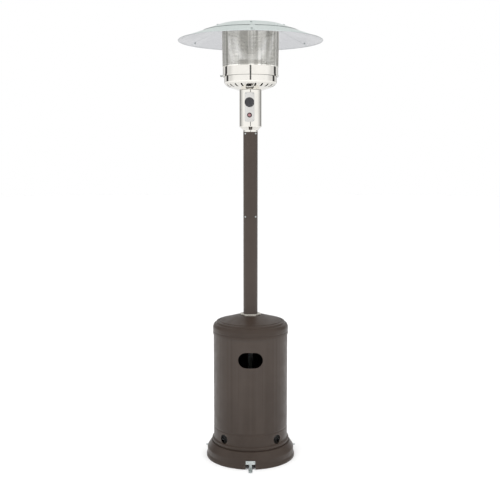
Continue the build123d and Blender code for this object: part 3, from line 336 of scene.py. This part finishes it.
def streaked_sheet():
    """Perforated stainless sheet with heat stains that run up it."""
    made, nodes, shader, place = material("perforated_stainless")
    streaks = nodes.noise(nodes.stretched(place, (1, 1, 0.03)), 42.0, 2.0, 0.55)
    cloud = nodes.noise(place, 9.0, 4.0, 0.6)
    shade = nodes.mix(nodes.ramp(streaks, 0.40, 0.60), STREAK_DARK, STREAK_PALE)
    shade = nodes.mix(nodes.ramp(cloud, 0.45, 0.75, 0.0, 0.3), shade, STREAK_CLOUD)
    scorched_finish(nodes, shader, place, shade, cloud)
    return made


LOOKS = {
    "mocha_paint": powder_coat(),
    "stainless": polished_steel("polished_stainless", rgb(0.93, 0.905, 0.85), 0.05, 0.10),
    "collar_steel": plain_metal("collar_steel", rgb(0.60, 0.575, 0.52), 0.28, 0.40),
    "zinc_plate": plain_metal("zinc_plate", rgb(0.60, 0.64, 0.635), 0.30, 0.44),
    "perforated_stainless": streaked_sheet(),
    "reflector_aluminium": reflector_metal(),
    "black_plastic": moulded("black_plastic", rgb(0.030, 0.029, 0.033), 0.30, 0.42),
    "maroon_plastic": moulded("maroon_plastic", rgb(0.035, 0.008, 0.010), 0.16, 0.24, 300.0, GLOSS_DEPTH),
    # Painted highlight: the button's red plastic is lightened to pale rose.
    "rose_plastic": moulded("rose_plastic", rgb(0.30, 0.145, 0.155), 0.18, 0.26, 300.0, GLOSS_DEPTH),
    "brass": plain_metal("brass", rgb(0.78, 0.58, 0.28), 0.22, 0.36),
    "grey_casting": plain_metal("grey_casting", rgb(0.30, 0.31, 0.32), 0.45, 0.6, 180.0, 0.0),
    "rubber": moulded("rubber", rgb(0.014, 0.014, 0.014), 0.55, 0.7),
    "ceramic": moulded("ceramic", rgb(0.80, 0.77, 0.70), 0.2, 0.3, 200.0, GLOSS_DEPTH),
    "copper_tube": plain_metal("copper_tube", rgb(0.72, 0.42, 0.28), 0.28, 0.42),
}
HOT_STEEL = scorched_steel("hot_steel", rgb(0.56, 0.545, 0.50), rgb(0.34, 0.33, 0.31))
PANEL_STEEL = polished_steel("panel_stainless", rgb(0.74, 0.73, 0.71), 0.08, 0.14)
HOT_NODES = {"burner_head", "mixer_tube", "flame_deflector", "emitter_top_plate", "pilot_bracket"}

slots = {part["node"]: part["material_slot"] for part in frame["record"]["subparts"]}
for name, cad_node in frame["nodes"].items():
    look = HOT_STEEL if name in HOT_NODES else LOOKS[slots[name]]
    if name == "control_panel":
        look = PANEL_STEEL
    cad_node.data.materials.clear()
    cad_node.data.materials.append(look)

# ---------------------------------------------------------------- perforated emitter screen

SCREEN_COLUMNS = 120
SCREEN_EDGE = 0.006
SCREEN_TAPER = 0.0025
SCREEN_SHEET = 0.0008
HOLE_SIDES = 8
HOLE_SHARE = 0.34
CELL_OUTLINE = ((0, 0), (0.5, 0), (1, 0), (1, 1), (0.5, 1), (0, 1))
AZIMUTH_STEPS = 1e5
HEIGHT_STEPS = 1e6
FULL_TURN = 2 * math.pi


def lathe_point(radius, azimuth, height):
    return (radius * math.sin(azimuth), -radius * math.cos(azimuth), height)


def fan_around(faces, corners, ring):
    """Fills between a cell's six edge points and its hole's eight, both anticlockwise."""
    facing = (4, 5, 6, 0, 1, 2)
    for index, first in enumerate(facing):
        second = (first + 1) % len(ring)
        after = (index + 1) % len(facing)
        faces.append([corners[index], ring[second], ring[first]])
        link = [corners[index], corners[after], ring[facing[after]]]
        if facing[after] != second:
            link.append(ring[second])
        faces.append(link)


def perforated_screen():
    """Rolled sheet with staggered round holes, as real openings, following the CAD screen.
    A hole's radius is HOLE_SHARE of the pitch, and the edges of the sheet have no holes."""
    low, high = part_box("emitter_screen")
    bottom_radius, top_radius = high.x - SCREEN_TAPER, high.x
    pitch = FULL_TURN * bottom_radius / SCREEN_COLUMNS
    row_height = pitch * math.sqrt(3) / 2
    rows = int((high.z - low.z - 2 * SCREEN_EDGE) / row_height)
    row_height = (high.z - low.z - 2 * SCREEN_EDGE) / rows

    def radius_at(height):
        return bottom_radius + (top_radius - bottom_radius) * (height - low.z) / (high.z - low.z)

    points, faces, lookup = [], [], {}

    def vertex(azimuth, height):
        """The point's index: neighbouring cells share the points on their common edge."""
        turn = round((azimuth % FULL_TURN) * AZIMUTH_STEPS) % round(FULL_TURN * AZIMUTH_STEPS)
        key = (turn, round(height * HEIGHT_STEPS))
        if key not in lookup:
            lookup[key] = len(points)
            points.append(lathe_point(radius_at(height), azimuth, height))
        return lookup[key]

    step = FULL_TURN / SCREEN_COLUMNS
    for row in range(rows):
        stagger = 0.5 * (row % 2)
        z0 = low.z + SCREEN_EDGE + row * row_height
        z1 = z0 + row_height
        for column in range(SCREEN_COLUMNS):
            a0 = (column + stagger) * step
            corners = []
            for u, v in CELL_OUTLINE:
                corners.append(vertex(a0 + u * step, z0 if v == 0 else z1))
            ring = []
            for side in range(HOLE_SIDES):
                turn = FULL_TURN * (side + 0.5) / HOLE_SIDES
                du = 0.5 + HOLE_SHARE * math.cos(turn)
                dz = 0.5 * row_height + HOLE_SHARE * pitch * math.sin(turn)
                ring.append(vertex(a0 + du * step, z0 + dz))
            fan_around(faces, corners, ring)
    for z0, z1 in ((low.z, low.z + SCREEN_EDGE), (high.z - SCREEN_EDGE, high.z)):
        for half in range(2 * SCREEN_COLUMNS):
            a0 = half * step / 2
            a1 = a0 + step / 2
            faces.append([vertex(a0, z0), vertex(a1, z0), vertex(a1, z1), vertex(a0, z1)])
    mesh = bpy.data.meshes.new("emitter_mesh")
    mesh.from_pydata(points, [], faces)
    mesh.update()
    screen = bpy.data.objects.new("emitter_mesh", mesh)
    bpy.context.scene.collection.objects.link(screen)
    solid = screen.modifiers.new("sheet", "SOLIDIFY")
    solid.thickness = SCREEN_SHEET
    solid.offset = -1
    for polygon in mesh.polygons:
        polygon.use_smooth = True
    return screen


screen = perforated_screen()
screen.data.materials.append(LOOKS["perforated_stainless"])
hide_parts("emitter_screen")
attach(screen, "heater")

# ---------------------------------------------------------------- floor and light

FLOOR_RADIUS = 30
FLOOR_DROP = 0.0005
LIGHT_AIM = (0, 0, 1.1)
SOFTBOXES = (
    ("key", -35, 45, 4.0, (2.0, 2.4), 40),
    ("fill", 40, 35, 4.0, (2.0, 2.4), 25),
    ("top", 180, 75, 3.0, (3.0, 3.0), 30),
)


def floor():
    bpy.ops.mesh.primitive_circle_add(
        vertices=96, radius=FLOOR_RADIUS, fill_type="NGON", location=(0, 0, -FLOOR_DROP)
    )
    ground = bpy.context.object
    ground.name = "floor"
    made, nodes, shader, place = material("pale_floor")
    shade = nodes.mix(nodes.noise(place, 3.0), rgb(0.93, 0.93, 0.93), rgb(0.95, 0.95, 0.95))
    plug(nodes, shader, Base_Color=shade, Roughness=0.9)
    ground.data.materials.append(made)


def softbox(name, azimuth, elevation, distance, size, power):
    """Area light aimed at the heater's middle, and not mirrored in its polished parts."""
    data = bpy.data.lights.new(name, "AREA")
    data.shape = "RECTANGLE"
    data.size, data.size_y = size
    data.energy = power
    lamp = bpy.data.objects.new(name, data)
    a, e = math.radians(azimuth), math.radians(elevation)
    away = Vector((math.sin(a) * math.cos(e), -math.cos(a) * math.cos(e), math.sin(e)))
    lamp.location = Vector(LIGHT_AIM) + away * distance
    lamp.rotation_euler = away.to_track_quat("Z", "Y").to_euler()
    lamp.visible_glossy = False
    bpy.context.scene.collection.objects.link(lamp)


def studio_world():
    """White studio. Polished metal sees the dark slots between its panels, which are placed by
    their angle from the front, the same on both sides."""
    world = bpy.data.worlds.new("studio")
    bpy.context.scene.world = world
    world.use_nodes = True
    nodes = Nodes(world.node_tree)
    background = world.node_tree.nodes["Background"]
    direction = nodes.add("ShaderNodeTexCoord").outputs["Generated"]
    x, y, z = nodes.add("ShaderNodeSeparateXYZ", {0: direction}).outputs
    azimuth = nodes.math("ARCTAN2", x, nodes.math("MULTIPLY", y, -1.0))
    spread = nodes.math("ABSOLUTE", azimuth)

    def panel_edge(start, end, before, after):
        return nodes.ramp(spread, math.radians(start), math.radians(end), before, after)

    front_slot = panel_edge(2.0, 4.5, 0.05, 1.0)
    grey_side = panel_edge(72, 98, 1.0, 0.74)
    dark_start = panel_edge(110, 115, 1.0, 0.0)
    dark_end = panel_edge(127, 133, 0.0, 1.0)
    side_slot = nodes.ramp(nodes.math("MAXIMUM", dark_start, dark_end), 0.0, 1.0, 0.07, 1.0)
    low_rear = panel_edge(133, 150, 1.0, 0.55)
    rear = nodes.math("MAXIMUM", low_rear, nodes.ramp(z, 0.06, 0.28))
    side = nodes.math("MINIMUM", grey_side, rear)
    panels = nodes.math("MULTIPLY", nodes.math("MINIMUM", front_slot, side_slot), side)
    rays = nodes.add("ShaderNodeLightPath").outputs
    level = nodes.mix(rays["Is Glossy Ray"], rgb(1.1, 1.1, 1.1), nodes.grey(panels))
    level = nodes.mix(rays["Is Camera Ray"], level, rgb(1.0, 1.0, 1.0))
    world.node_tree.links.new(level, background.inputs["Color"])
    background.inputs["Strength"].default_value = 1.0


floor()
studio_world()
for softbox_values in SOFTBOXES:
    softbox(*softbox_values)
